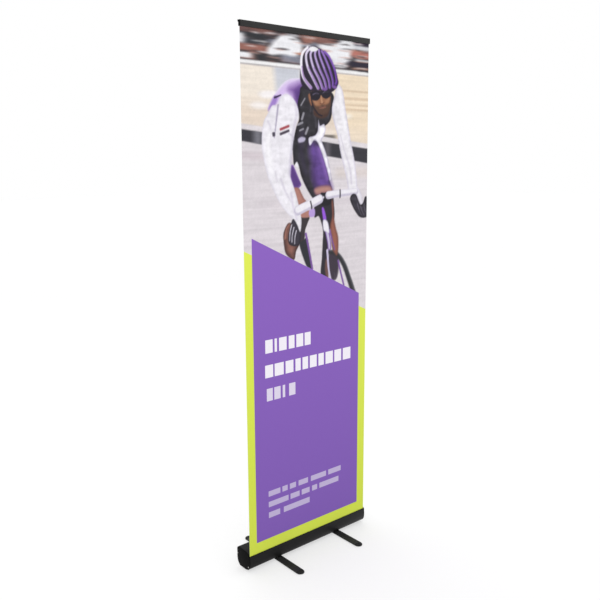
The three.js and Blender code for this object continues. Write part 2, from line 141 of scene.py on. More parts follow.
class Recipe:  # one material and its nodes
    def __init__(self, name):
        self.material = bpy.data.materials.new(name)
        self.material.use_nodes = True
        self.tree = self.material.node_tree
        self.shader = self.tree.nodes["Principled BSDF"]

    def node(self, kind, settings=None, values=(), out=0):
        made = self.tree.nodes.new(kind)
        for key, value in (settings or {}).items():
            if key == "stops":
                self.setStops(made.color_ramp, value)
            else:
                setattr(made, key, value)
        pairs = values.items() if isinstance(values, dict) else enumerate(values)
        for key, value in pairs:
            self.feed(made.inputs[key], value)
        return Signal(self, made.outputs[out])

    def setStops(self, ramp, stops):
        while len(ramp.elements) < len(stops):
            ramp.elements.new(0.5)
        for element, (place, colour) in zip(ramp.elements, stops):
            element.position, element.color = place, (*colour, 1)

    def feed(self, socket, value):
        if isinstance(value, Signal):
            self.tree.links.new(value.socket, socket)
        else:
            socket.default_value = value

    def give(self, **values):  # values of the shader's own sockets, such as base_color
        for key, value in values.items():
            self.feed(self.shader.inputs[key.replace("_", " ").title().replace("Ior", "IOR")], value)

    def place(self):  # object coordinates in metres
        return self.node("ShaderNodeTexCoord", out="Object")

    def stretched(self, scale):
        return self.node("ShaderNodeMapping", {}, {"Vector": self.place(), "Scale": scale})

    def noise(self, vector, scale, detail, roughness=0.5):
        values = {"Vector": vector, "Scale": scale, "Detail": detail, "Roughness": roughness}
        return self.node("ShaderNodeTexNoise", {}, values)

    def mix(self, share, first, second):
        values = {0: share, 6: first, 7: second}
        return self.node("ShaderNodeMix", {"data_type": "RGBA"}, values, out=2)

    def between(self, share, low, high):  # share 0 to 1 spread over two numbers
        return share * (high - low) + low

    def relief(self, height, distance, strength):
        values = {"Height": height, "Distance": distance, "Strength": strength}
        return self.node("ShaderNodeBump", {}, values)


def grey(value):
    return (value, value, value, 1)


anodised = {
    "shadeSpread": 0.35,  # how much the colour varies, as a share of it
    "lineWidth": 0.0007,  # the fine lines that an extrusion's die leaves
    "lineLength": 0.6,
    "lineDepth": 0.00002,
    "cloudScale": 14,
    "speckleScale": 2600,
    "roughness": (0.36, 0.5),
    "metallic": 0.2,
    "gloss": 0.12,
}


def makeAnodised(name, along, tone):
    recipe = Recipe(name)
    scale = [1 / anodised["lineWidth"]] * 3
    scale["XYZ".index(along)] = 1 / anodised["lineLength"]
    lines = recipe.noise(recipe.stretched(scale), 1, 1)
    clouds = recipe.noise(recipe.place(), anodised["cloudScale"], 3)
    speckle = recipe.noise(recipe.place(), anodised["speckleScale"], 1)
    shade = (lines * 0.4 + clouds * 0.35 + speckle * 0.25).past(0.5, 0.5)
    spread = anodised["shadeSpread"]
    dark, light = grey(tone * (1 - spread)), grey(tone * (1 + spread))
    recipe.give(
        base_color=recipe.mix(shade, dark, light),
        metallic=anodised["metallic"],
        roughness=recipe.between(clouds * 0.5 + lines * 0.5, *anodised["roughness"]),
        specular_ior_level=anodised["gloss"],
        normal=recipe.relief(lines, anodised["lineDepth"], 0.5),
    )
    return recipe.material


plastic = {
    "tone": 0.0026,
    "tipTone": 0.022,
    "grain": 0.0006,
    "grainDepth": 0.00004,
    "rub": 0.3,  # how strongly rubbed patches show
    "roughness": (0.5, 0.66),
    "gloss": 0.05,
}


def makePlastic(name, tone):
    recipe = Recipe(name)
    fine = recipe.noise(recipe.place(), 1 / plastic["grain"], 2, 0.6)
    broad = recipe.noise(recipe.place(), 35, 3)
    rubbed = recipe.noise(recipe.place(), 160, 4).past(0.62, 0.12)
    colour = recipe.mix(fine * 0.5 + broad * 0.5, grey(tone * 0.6), grey(tone * 1.5))
    recipe.give(
        base_color=recipe.mix(rubbed * plastic["rub"], colour, grey(tone * 2.4)),
        roughness=recipe.between(broad * 0.6 + fine * 0.4, *plastic["roughness"]) - rubbed * 0.06,
        specular_ior_level=plastic["gloss"],
        normal=recipe.relief(fine, plastic["grainDepth"], 0.6),
    )
    return recipe.material


rubber = {"tone": 0.008, "dustTone": 0.035, "dust": 0.4, "roughness": (0.75, 0.95), "gloss": 0.25,
          "grainDepth": 0.00006}


def makeRubber():
    recipe = Recipe("padRubber")
    fine = recipe.noise(recipe.place(), 1400, 3, 0.7)
    dust = recipe.noise(recipe.place(), 90, 4).past(0.6, 0.2)
    recipe.give(
        base_color=recipe.mix(dust * rubber["dust"], grey(rubber["tone"]), grey(rubber["dustTone"])),
        roughness=recipe.between(fine, *rubber["roughness"]),
        specular_ior_level=rubber["gloss"],
        normal=recipe.relief(fine, rubber["grainDepth"], 0.8),
    )
    return recipe.material


metal = {
    "steel": (0.56, 0.55, 0.53),
    "aluminium": (0.42, 0.43, 0.44),
    "dull": 0.72,  # colour of its dull patches, as a share of its own
    "lines": (900, 900, 12),  # turning lines for each metre along X, Y and Z
    "lineDepth": 0.00002,
    "roughness": (0.22, 0.46),
}


def makeMetal(name, colour):
    recipe = Recipe(name)
    lines = recipe.noise(recipe.stretched(metal["lines"]), 1, 2)
    blooms = recipe.noise(recipe.place(), 120, 4, 0.6)
    dull = [metal["dull"] * part for part in colour]
    recipe.give(
        base_color=recipe.mix(blooms, (*dull, 1), (*colour, 1)),
        metallic=1.0,
        roughness=recipe.between(lines * 0.5 + blooms * 0.5, *metal["roughness"]),
        normal=recipe.relief(lines, metal["lineDepth"], 0.5),
    )
    return recipe.material


nylon = {"dark": (0.62, 0.59, 0.5, 1), "light": (0.78, 0.76, 0.68, 1), "roughness": (0.4, 0.55),
         "gloss": 0.45, "depth": 0.00004}


def makeNylon():
    recipe = Recipe("naturalNylon")
    flow = recipe.noise(recipe.stretched((60, 60, 200)), 1, 3)
    recipe.give(
        base_color=recipe.mix(flow, nylon["dark"], nylon["light"]),
        roughness=recipe.between(flow, *nylon["roughness"]),
        specular_ior_level=nylon["gloss"],
        normal=recipe.relief(flow, nylon["depth"], 0.4),
    )
    return recipe.material


braid = {"dark": (0.006, 0.006, 0.009, 1), "light": (0.03, 0.03, 0.045, 1), "strands": 260, "depth": 0.0003}


def makeBraid():
    recipe = Recipe("elasticBraid")
    settings = {"wave_type": "BANDS", "bands_direction": "DIAGONAL"}
    values = {"Vector": recipe.place(), "Scale": braid["strands"], "Distortion": 1.5}
    strands = recipe.node("ShaderNodeTexWave", settings, values, out=1)
    recipe.give(
        base_color=recipe.mix(strands, braid["dark"], braid["light"]),
        roughness=recipe.between(strands, 0.95, 0.75),
        normal=recipe.relief(strands, braid["depth"], 0.8),
    )
    return recipe.material


film = {
    "backTone": 0.72,
    "leaderTone": 0.55,
    "backRoughness": (0.42, 0.56),
    "backGloss": 0.3,
    "printRoughness": (0.44, 0.58),
    "printGloss": 0.12,
    "grainScale": 2600,
    "grainShare": 0.03,  # how much the grain greys the ink
    "waves": (3, 9, 1),  # slow waves across and up the sheet
    "waveDepth": 0.0006,
}


def makeFilmBack(name, tone):
    recipe = Recipe(name)
    weave = recipe.noise(recipe.stretched((700, 700, 700)), 1, 2, 0.6)
    broad = recipe.noise(recipe.stretched((6, 6, 2)), 1, 3)
    recipe.give(
        base_color=recipe.mix(broad * 0.7 + weave * 0.3, grey(tone * 0.93), grey(tone * 1.04)),
        roughness=recipe.between(broad, *film["backRoughness"]),
        specular_ior_level=film["backGloss"],
        normal=recipe.relief(weave, 0.00002, 0.5),
    )
    return recipe.material


# The print: sizes in millimetres, across from its left edge and up from the cassette's slot

layout = {
    "panelLeft": 34, "panelRight": 561, "panelBottom": 43,
    "panelTop": 1216,  # where the slanted top would meet the sheet's left edge
    "borderTop": 1157,
    "slant": -0.484, "borderSlant": -0.473,
    "edge": 0.8,  # how soft an edge of solid ink is
    "panelInk": ("7855aa", "8a61be"), "borderInk": ("c8d646", "deeb56"),  # bottom and top
    "lightInk": "f1edf5",
}
# Plain blocks in place of words: height from and to, strength, and where each starts and ends
blocks = [
    (775, 825, 0.97, [(87, 121), (130, 141), (151, 187), (197, 225), (234, 268), (275, 305)]),
    (682, 730, 0.97, [(85, 122), (129, 172), (181, 219), (229, 255), (264, 292), (301, 336),
                      (345, 373), (382, 421), (429, 466), (475, 517)]),
    (592, 640, 0.72, [(91, 119), (126, 156), (166, 178), (197, 228)]),
    (213, 235, 0.42, [(93, 150), (160, 186), (197, 228), (241, 290), (305, 386), (398, 467)]),
    (170, 192, 0.42, [(93, 190), (200, 246), (257, 298), (311, 338), (350, 455)]),
    (126, 149, 0.42, [(93, 148), (166, 298)]),
]


def ink(code):  # a hexadecimal colour, or the name of one of the inks, as three display values
    if not isinstance(code, str):
        return code
    code = inks.get(code, code)
    return np.array([int(code[i:i + 2], 16) / 255 for i in (0, 2, 4)])


def linear(colour):  # display values as light
    return np.where(colour <= 0.04045, colour / 12.92, ((colour + 0.055) / 1.055) ** 2.4)


def paint(code):
    return (*linear(ink(code)), 1)


def makeFilmPrint():
    recipe = Recipe("printedFilm")
    spot = recipe.node("ShaderNodeUVMap", {"uv_map": "print"})
    parts = recipe.node("ShaderNodeSeparateXYZ", {}, [spot])
    across = parts * (sheet["width"] * 1000)
    rise = Signal(recipe, parts.socket.node.outputs["Y"])
    up = rise * (sheet["length"] * 1000) - sheet["hidden"] * 1000
    picture = recipe.node("ShaderNodeAttribute", {"attribute_name": "ink"})
    sharp = layout["edge"]

    border = 1 - (up - across * layout["borderSlant"]).past(layout["borderTop"], sharp)
    panel = 1 - (up - across * layout["slant"]).past(layout["panelTop"], sharp)
    panel *= across.past(layout["panelLeft"], sharp) * (1 - across.past(layout["panelRight"], sharp))
    panel *= up.past(layout["panelBottom"], sharp)
    light = None
    for bottom, top, strength, spans in blocks:
        row = up.past(bottom, sharp) * (1 - up.past(top, sharp)) * strength
        width = None
        for start, end in spans:
            reach = 1 - abs(across - (start + end) / 2).past((end - start) / 2, sharp)
            width = reach if width is None else width + reach
        light = row * width if light is None else light + row * width

    height = up.past(layout["borderTop"] / 2, layout["borderTop"])
    borderInk = recipe.mix(height, *(paint(code) for code in layout["borderInk"]))
    panelInk = recipe.mix(height, *(paint(code) for code in layout["panelInk"]))
    panelInk = recipe.mix(light, panelInk, paint(layout["lightInk"]))
    colour = recipe.mix(panel, recipe.mix(border, picture, borderInk), panelInk)
    grain = recipe.noise(spot, film["grainScale"], 1)
    waves = recipe.node("ShaderNodeMapping", {}, {"Vector": spot, "Scale": film["waves"]})
    sheen = recipe.noise(waves, 1, 3)
    recipe.give(
        base_color=recipe.mix(grain * film["grainShare"], colour, grey(0.3)),
        roughness=recipe.between(sheen * 0.7 + grain * 0.3, *film["printRoughness"]),
        specular_ior_level=film["printGloss"],
        normal=recipe.relief(sheen, film["waveDepth"], 0.3),
    )
    return recipe.material


def curveThrough(points, closed=True):  # a smooth line through given points
    steps = 5  # pieces between one point and the next
    p = np.array(points, float)
    if closed:
        before, after, beyond = np.roll(p, 1, 0), np.roll(p, -1, 0), np.roll(p, -2, 0)
    else:
        before, after = np.vstack([p[:1], p[:-2]]), p[1:]
        beyond = np.vstack([p[2:], p[-1:]])
        last, p = p[-1:], p[:-1]
    t = (np.arange(steps) / steps)[None, :, None]
    a, b, c, d = (q[:, None, :] for q in (before, p, after, beyond))
    line = b + 0.5 * t * (c - a + t * (2 * a - 5 * b + 4 * c - d + t * (3 * (b - c) + d - a)))
    line = line.reshape(-1, 2)
    return line if closed else np.vstack([line, last])


def nearTo(u, v, start, end):  # how far places are from a straight piece of line, and where along it
    du, dv = end[0] - start[0], end[1] - start[1]
    pu, pv = u - start[0], v - start[1]
    along = np.clip((pu * du + pv * dv) / (du * du + dv * dv + 1e-9), 0, 1)
    return np.hypot(pu - du * along, pv - dv * along), along


class Picture:  # a grid of display colours over part of the sheet
    def __init__(self, across, up):
        self.u, self.v = np.meshgrid(across, up)
        self.colour = np.zeros((*self.u.shape, 3))

    def window(self, line, margin):  # the part of the grid that a line can touch
        (left, low), (right, high) = line.min(0) - margin, line.max(0) + margin
        columns = np.flatnonzero((self.u[0] >= left) & (self.u[0] <= right))
        rows = np.flatnonzero((self.v[:, 0] >= low) & (self.v[:, 0] <= high))
        if not len(columns) or not len(rows):
            return None
        return slice(rows[0], rows[-1] + 1), slice(columns[0], columns[-1] + 1)

    def lay(self, place, mask, colour):
        self.colour[place] += mask[..., None] * (colour - self.colour[place])

    def fill(self, points, code, soft=4, curved=True, rim=None, rimWidth=12, share=1.0, folds=0.0):
        line = curveThrough(points) if curved else np.array(points, float)
        place = self.window(line, soft)
        if place is None:
            return
        u, v = self.u[place], self.v[place]
        nearest = np.full(u.shape, 1e9)
        inside = np.zeros(u.shape, bool)
        for start, end in zip(line, np.roll(line, -1, 0)):
            nearest = np.minimum(nearest, nearTo(u, v, start, end)[0])
            du, dv = end - start
            inside ^= ((start[1] > v) != (end[1] > v)) & (u - start[0] < du * (v - start[1]) / (dv or 1e-9))
        depth = nearest * np.where(inside, 1, -1)
        colour = np.broadcast_to(ink(code), (*u.shape, 3))
        if rim:
            edge = np.clip(1 - depth / rimWidth, 0, 1)[..., None] ** 1.5
            colour = colour + edge * (ink(rim) - colour)
        if folds:
            wave = self.cloud(12, 18, 31)[place] * 0.5 + self.cloud(24, 9, 32)[place] * 0.5
            colour = colour * (1 + folds * (wave - 0.55))[..., None]
        self.lay(place, share * np.clip(depth / soft + 0.5, 0, 1), colour)

    def stroke(self, points, code, width, endWidth=None, soft=3, share=1.0):
        line = curveThrough(points, closed=False)
        widths = np.linspace(width, width if endWidth is None else endWidth, len(line)) / 2
        place = self.window(line, max(widths) + soft)
        if place is None:
            return
        u, v = self.u[place], self.v[place]
        depth = np.full(u.shape, -1e9)
        for start, end, a, b in zip(line, line[1:], widths, widths[1:]):
            gap, along = nearTo(u, v, start, end)
            depth = np.maximum(depth, a + (b - a) * along - gap)
        self.lay(place, share * np.clip(depth / soft + 0.5, 0, 1), ink(code))

    def dash(self, start, end, *look, bend=0, **more):  # a short stroke, bent to the right by that much
        middle = ((start[0] + end[0]) / 2 + bend, (start[1] + end[1]) / 2)
        self.stroke([start, middle, end], *look, **more)

    def band(self, top, bottom, code, slope=0.0, start=-50, end=650, soft=3, share=1.0):
        drop = self.v - slope * self.u
        mask = np.clip((top - drop) / soft + 0.5, 0, 1) * np.clip((drop - bottom) / soft + 0.5, 0, 1)
        mask *= np.clip((self.u - start) / 20 + 0.5, 0, 1) * np.clip((end - self.u) / 20 + 0.5, 0, 1)
        self.lay(..., share * mask, ink(code))

    def scatter(self, count, low, high, codes, long, deep, seed):  # level streaks at random places
        dice = np.random.default_rng(seed)
        for index in range(count):
            u, v = dice.uniform(0, 600), dice.uniform(low, high)
            reach, half = dice.uniform(*long) / 2, dice.uniform(*deep) / 2
            slant = dice.uniform(-half, half)
            self.stroke([(u - reach, v - slant), (u, v + slant / 2), (u + reach, v)],
                        codes[index % len(codes)], half, 2 * half, 5, 0.75)

    def cloud(self, across, up, seed):  # soft random values from 0 to 1, in patches of that size
        u = self.u / across
        v = (self.v - self.v.min()) / up
        table = np.random.default_rng(seed).random((int(v.max()) + 2, int(u.max()) + 2))
        i, j = v.astype(int), u.astype(int)
        s, t = v - i, u - j
        s, t = s * s * (3 - 2 * s), t * t * (3 - 2 * t)
        low = table[i, j] * (1 - t) + table[i, j + 1] * t
        high = table[i + 1, j] * (1 - t) + table[i + 1, j + 1] * t
        return low * (1 - s) + high * s

    def smear(self, length):  # blur from side to side, as behind a fast rider
        cell = self.u[0, 1] - self.u[0, 0]
        reach = max(1, round(length / cell / 2))
        padded = np.pad(self.colour, ((0, 0), (reach, reach), (0, 0)), mode="edge")
        total = np.cumsum(np.pad(padded, ((0, 0), (1, 0), (0, 0))), axis=1)
        span = 2 * reach + 1
        self.colour = (total[:, span:] - total[:, :-span]) / span


# What the print shows: plain shapes, drawn from the back of the scene to the front

inks = {
    "floor": "dbd5d9", "rail": "ecebec", "band": "37363d",
    "crowd": "3a3437", "night": "2f3036", "warm": "96665c", "tan": "b2806e", "white": "ececf0",
    "board": "ece2d6", "boardLow": "e3d3c4", "boardRight": "ecdac1", "streak": "d4bca2", "panel": "c9cbd4",
    "cloth": "ebe8ef", "clothEdge": "b9b2cc", "crease": "c3bccd", "black": "343238", "violet": "79569c",
    "lilac": "d3bce9", "deep": "583b7d", "skin": "ac7a6f", "skinDark": "8c5f55",
    "dusk": "7d7f8c", "rose": "c8a096", "frameViolet": "965ad7",
    "tyre": "323236", "tyreLight": "56565c", "glove": "3a3640", "metal": "c9c0dc",
    "face": "96694f", "faceLight": "b98a6c", "beard": "463530", "glass": "26222c", "helmet": "2a2333",
    "ribFar": "7f56b4",
}


def paintCrowd(p):
    p.band(1903, 1797, "crowd")
    p.scatter(120, 1802, 1900, ("night", "warm", "black", "tan", "dusk"),
              (24, 110), (7, 20), 3)
    p.band(1903, 1885, "785550", end=150, soft=6, share=0.8)
    p.band(1882, 1852, "2d3034", start=25, end=110, soft=8, share=0.7)
    p.band(1848, 1826, "warm", end=100, soft=8)
    p.band(1824, 1800, "2d3034", start=60, end=170, soft=8, share=0.8)
    p.band(1880, 1850, "white", end=16, soft=8)
    p.band(1820, 1803, "white", end=48, soft=6)
    p.band(1828, 1802, "8d92a2", start=175, end=330, soft=8, share=0.8)
    p.fill([(112, 1832), (125, 1850), (150, 1872), (175, 1889), (230, 1890), (262, 1874), (272, 1850),
            (255, 1832), (230, 1824), (180, 1826), (130, 1820)], "white", 9)
    p.fill([(275, 1903), (262, 1884), (285, 1870), (320, 1882), (360, 1874), (410, 1884), (430, 1903)],
           "warm", 8, share=0.75)
    p.band(1838, 1831, "tan", start=236, end=292)
    p.fill([(345, 1870), (365, 1878), (430, 1885), (470, 1903), (520, 1903), (522, 1880), (505, 1855),
            (510, 1838), (495, 1825), (480, 1805), (420, 1805), (400, 1830), (370, 1850)],
           "white", 10)
    p.band(1903, 1890, "322a3c", start=522, soft=6)
    p.band(1888, 1874, "white", start=515, soft=6, share=0.8)
    p.band(1868, 1846, "be766c", start=512, soft=8, share=0.8)
    p.band(1840, 1832, "white", start=520, soft=5, share=0.7)
    p.band(1830, 1812, "2d2837", start=495, soft=6)
    p.scatter(60, 1806, 1898, ["white", "crowd", "rose"], (15, 60), (3, 6), 4)


def paintBoards(p):
    p.band(1784, 1560, "board")
    p.band(1660, 1560, "boardLow", soft=70)
    p.band(1784, 1500, "boardRight", start=430, soft=10)
    for height, deep in ((1722, 6), (1695, 9), (1672, 6), (1655, 8)):
        p.band(height + deep / 2, height - deep / 2, "streak", start=455, soft=6, share=0.8)
    p.fill([(140, 1783), (262, 1785), (262, 1690), (150, 1690)], "panel", 5, curved=False)
    p.fill([(78, 1694), (110, 1702), (150, 1700), (150, 1684), (110, 1676), (82, 1680)], "f3eeee", 10)
    p.fill([(36, 1652), (70, 1664), (112, 1656), (100, 1642), (60, 1640)], "f1eae6", 12)
    p.fill([(470, 1632), (495, 1640), (512, 1634), (505, 1622), (480, 1620)], "f4ecdf", 10)
    p.band(1799, 1784, "rail")
    p.band(1784, 1780, "b3acb0", soft=3, share=0.7)


def paintFloor(p):
    p.band(1590, 0, "floor", slope=-0.1, soft=4)
    p.band(1500, 800, "d7d0d5", soft=220, share=0.6)
    p.band(1498, 1470, "cdbfc6", slope=-0.03, end=300, soft=20, share=0.5)
    p.band(1440, 1402, "d9cdc6", start=430, soft=22, share=0.55)
    p.band(1330, 1300, "cfc6cd", start=60, soft=24, share=0.35)
    low, high = 1532 - 0.127 * p.u, 1571 - 0.1 * p.u
    mask = np.clip((p.v - low) / 4 + 0.5, 0, 1) * np.clip((high - p.v) / 4 + 0.5, 0, 1)
    p.lay(..., mask, ink("band"))
    for start, end, shade in ((45, 90, "75747d"), (375, 405, "666068")):
        side = np.clip((p.u - start) / 8, 0, 1) * np.clip((end - p.u) / 8, 0, 1)
        p.lay(..., mask * side, ink(shade))


def paintWheel(p):
    p.fill([(400, 1120), (440, 1110), (450, 1080), (445, 1030), (430, 1010), (408, 1018), (396, 1060)],
           "3e3642", 8)
    p.stroke([(398, 1122), (425, 1118), (452, 1100), (480, 1062), (501, 1018), (518, 980), (532, 945)],
             "tyre", 16, 25, 6)
    p.stroke([(404, 1127), (430, 1123), (458, 1105), (488, 1066), (509, 1021), (526, 983), (540, 949)],
             "tyreLight", 4, 8, 5, 0.8)
    p.stroke([(447, 1085), (460, 1040), (478, 985)], "violet", 8)
    for turn in (-20, -45, -70):
        end = (470 - 60 * cos(radians(turn)), 1000 - 60 * sin(radians(turn)))
        p.dash((428, 1012), end, "8b8496", 1.6, share=0.35)


def paintLegs(p):
    p.fill([(212, 1448), (225, 1450), (238, 1430), (255, 1400), (265, 1385), (250, 1368), (226, 1368),
            (215, 1390), (208, 1418)], "deep", rim="9a78bd", rimWidth=10)
    p.stroke([(235, 1455), (268, 1392), (305, 1325)], "floor", 20)
    p.fill([(236, 1462), (250, 1464), (254, 1450), (243, 1443), (234, 1450)], "cloth")
    p.fill([(226, 1368), (250, 1368), (262, 1350), (275, 1330), (284, 1318), (255, 1306), (236, 1302),
            (232, 1330)], "skin", rim="skinDark")
    p.fill([(205, 1245), (190, 1235), (176, 1205), (178, 1170), (184, 1140), (198, 1122), (226, 1108),
            (236, 1140), (252, 1165), (246, 1190), (240, 1215), (225, 1235)], "skinDark",
           rim="3f2c2c", rimWidth=26, folds=0.3)
    p.stroke([(184, 1190), (190, 1222), (204, 1240)], "b87f6e", 8, 5, 7, 0.7)
    p.fill([(262, 1268), (300, 1262), (292, 1240), (280, 1215), (278, 1190), (270, 1170), (252, 1165),
            (246, 1185), (252, 1210), (258, 1235)], "crowd")
    p.fill([(258, 1284), (300, 1286), (302, 1262), (262, 1262)], "skin")
    p.fill([(252, 1165), (268, 1175), (290, 1185), (300, 1140), (316, 1065), (300, 1070), (285, 1080),
            (268, 1115), (258, 1140)], "night")
    p.stroke([(283, 1200), (300, 1130), (314, 1066)], "violet", 9)
    p.fill([(345, 1345), (380, 1345), (416, 1340), (424, 1300), (427, 1258), (418, 1232), (404, 1210),
            (400, 1180), (396, 1140), (394, 1090), (392, 1020), (372, 1030), (356, 1042), (362, 1100),
            (366, 1160), (368, 1205), (358, 1240), (345, 1262), (326, 1258), (322, 1285), (330, 1320)],
           "302d34")
    p.fill([(410, 1322), (421, 1305), (425, 1250), (434, 1212), (446, 1178), (447, 1130), (440, 1105),
            (420, 1125), (412, 1150), (408, 1190), (404, 1225), (414, 1262)], "965f50", 7,
           rim="6b423b", rimWidth=14)
    p.stroke([(402, 1205), (412, 1175), (428, 1130)], "violet", 9, 5, 5)
    p.fill([(382, 1095), (392, 1090), (396, 1020), (384, 1032), (378, 1060)], "6b4d49", 8)


def paintFork(p):
    p.stroke([(388, 1205), (399, 1160), (401, 1138)], "violet", 20, 17)
    p.stroke([(388, 1203), (399, 1160), (401, 1138)], "metal", 11, 9)
    p.stroke([(390, 1130), (397, 1060), (408, 1018)], "metal", 10, 7)
    p.fill([(362, 1292), (372, 1290), (382, 1262), (384, 1245), (372, 1240), (366, 1262)],
           "frameViolet")
    p.fill([(368, 1245), (385, 1245), (396, 1228), (400, 1195), (384, 1200), (370, 1210)], "cloth",
           rim="clothEdge", rimWidth=6)


def paintBack(p):
    p.fill([(112, 1640), (130, 1672), (150, 1700), (178, 1728), (210, 1746), (250, 1752), (275, 1750),
            (300, 1700), (270, 1640), (240, 1640), (200, 1690), (160, 1660), (140, 1655)],
           "lilac", rim="e4dcef", rimWidth=16)
    p.fill([(205, 1712), (235, 1728), (270, 1738), (302, 1710), (275, 1645), (245, 1645), (228, 1690)],
           "violet", 30)
    p.fill([(236, 1700), (262, 1722), (290, 1720), (280, 1650), (248, 1650)], "deep", 26)
    p.fill([(114, 1636), (126, 1664), (142, 1686), (156, 1684), (150, 1662), (134, 1640)], "9f80c8", 10)
    p.stroke([(143, 1681), (154, 1684), (170, 1690)], "3f3354", 8, 5)


def paintTorso(p):
    p.fill([(262, 1722), (300, 1735), (360, 1735), (418, 1705), (415, 1660), (404, 1614), (378, 1592),
            (352, 1580), (330, 1556), (300, 1548), (300, 1530), (312, 1520), (340, 1530), (358, 1500),
            (372, 1470), (388, 1430), (400, 1395), (412, 1362), (400, 1350), (360, 1345), (330, 1325),
            (312, 1335), (285, 1370), (262, 1410), (250, 1448), (240, 1462), (228, 1450), (224, 1480),
            (222, 1520), (228, 1550), (240, 1585), (252, 1610), (250, 1640), (246, 1665), (256, 1700)],
           "black", rim="232127", rimWidth=20, folds=0.5)
    p.stroke([(268, 1560), (262, 1500), (285, 1420)], "3d3350", 26, 16, 24, 0.5)
    p.fill([(312, 1532), (345, 1518), (365, 1480), (384, 1438), (398, 1400), (412, 1362), (395, 1350),
            (345, 1358), (316, 1400), (312, 1450), (302, 1500)], "64478f", 34, folds=0.3)
    p.stroke([(348, 1508), (370, 1456), (390, 1400)], "9068c0", 18, 14, 14, 0.75)
    p.stroke([(330, 1470), (325, 1420), (335, 1375)], "452f63", 14, 20, 22, 0.6)
    p.fill([(322, 1362), (350, 1374), (400, 1375), (416, 1358), (415, 1345), (380, 1345), (335, 1340)],
           "b5867d", 9, rim="7b5566", rimWidth=14)
    p.fill([(345, 1612), (352, 1592), (372, 1598), (380, 1580), (372, 1555), (360, 1540), (375, 1510),
            (390, 1475), (402, 1440), (410, 1400), (402, 1392), (396, 1410), (385, 1440), (368, 1480),
            (350, 1515), (340, 1532), (325, 1540), (305, 1520), (298, 1532), (300, 1548), (328, 1556),
            (342, 1575)], "cloth", rim="clothEdge", rimWidth=7, folds=0.3)
    p.fill([(248, 1542), (264, 1550), (282, 1546), (276, 1534), (252, 1530)], "clothEdge", 6)
    marks = (((262, 1660), (280, 1684), 5), ((266, 1612), (274, 1632), 9), ((246, 1592), (268, 1600), 8),
             ((284, 1562), (294, 1582), 9), ((256, 1572), (272, 1578), 6))
    for low, high, width in marks:
        p.dash(low, high, "b3b0bb", width, soft=4, share=0.75)
    for low, high in (((300, 1700), (306, 1640)), ((322, 1640), (332, 1585)), ((395, 1665), (392, 1620))):
        p.dash(low, high, "57525d", 8, 3, 9, 0.6, bend=5)


def paintSleeves(p):
    p.fill([(150, 1655), (130, 1652), (110, 1622), (95, 1600), (86, 1560), (85, 1510), (95, 1460),
            (110, 1410), (135, 1360), (160, 1320), (190, 1285), (215, 1262), (232, 1232), (250, 1205),
            (258, 1215), (262, 1250), (255, 1285), (245, 1320), (235, 1350), (222, 1382), (210, 1415),
            (216, 1470), (224, 1530), (232, 1560), (240, 1590), (252, 1615), (250, 1640), (240, 1665),
            (222, 1685), (200, 1695), (180, 1692), (165, 1680), (158, 1658)],
           "cloth", rim="d9d5e1", rimWidth=10, folds=0.13)
    p.stroke([(158, 1656), (151, 1612), (145, 1575), (140, 1545)], "a49cb4", 7, 3, 5)
    p.stroke([(236, 1660), (240, 1625), (226, 1570), (216, 1500), (206, 1420)], "crease",
             6, 10, 12, 0.7)
    p.stroke([(112, 1600), (124, 1575), (120, 1530)], "crease", 6, 3, 8, 0.6)
    p.stroke([(205, 1560), (222, 1552), (228, 1540)], "crease", 5, 3, 6, 0.7)
    p.stroke([(120, 1450), (142, 1424), (150, 1395)], "crease", 5, 3, 8, 0.5)
    p.stroke([(214, 1350), (224, 1300), (240, 1255)], "cdc4d8", 9, 6, 10, 0.7)
    p.stroke([(120, 1560), (112, 1500), (128, 1430)], "f7f5f9", 14, 20, 16, 0.8)
    p.stroke([(168, 1400), (186, 1360), (214, 1320)], "crease", 10, 3, 8, 0.6)
    p.fill([(131, 1562), (142, 1563), (143, 1551), (133, 1549)], "4b4654")
    for lift, shade in ((8, "a34a52"), (-8, "4b4350")):  # a plain badge of two bars
        p.stroke([(168, 1566 + lift), (186, 1572 + lift), (204, 1578 + lift)], shade, 9, soft=4)
    p.fill([(432, 1742), (447, 1742), (462, 1728), (472, 1700), (480, 1660), (490, 1620), (500, 1580),
            (508, 1545), (518, 1510), (528, 1475), (536, 1440), (543, 1400), (547, 1368), (560, 1352),
            (572, 1330), (578, 1302), (566, 1298), (552, 1318), (540, 1334), (520, 1338), (502, 1345),
            (495, 1370), (488, 1400), (478, 1430), (468, 1460), (455, 1500), (444, 1545), (434, 1575),
            (422, 1605), (412, 1640), (414, 1670), (424, 1700), (430, 1725)],
           "ebe8ee", rim="cdc7d8", rimWidth=12, folds=0.13)
    p.stroke([(450, 1715), (463, 1650), (482, 1580)], "f6f4f9", 12, 16, 14, 0.8)
    p.stroke([(455, 1560), (478, 1500), (505, 1440), (515, 1380)], "crease", 4, 9, 8, 0.6)


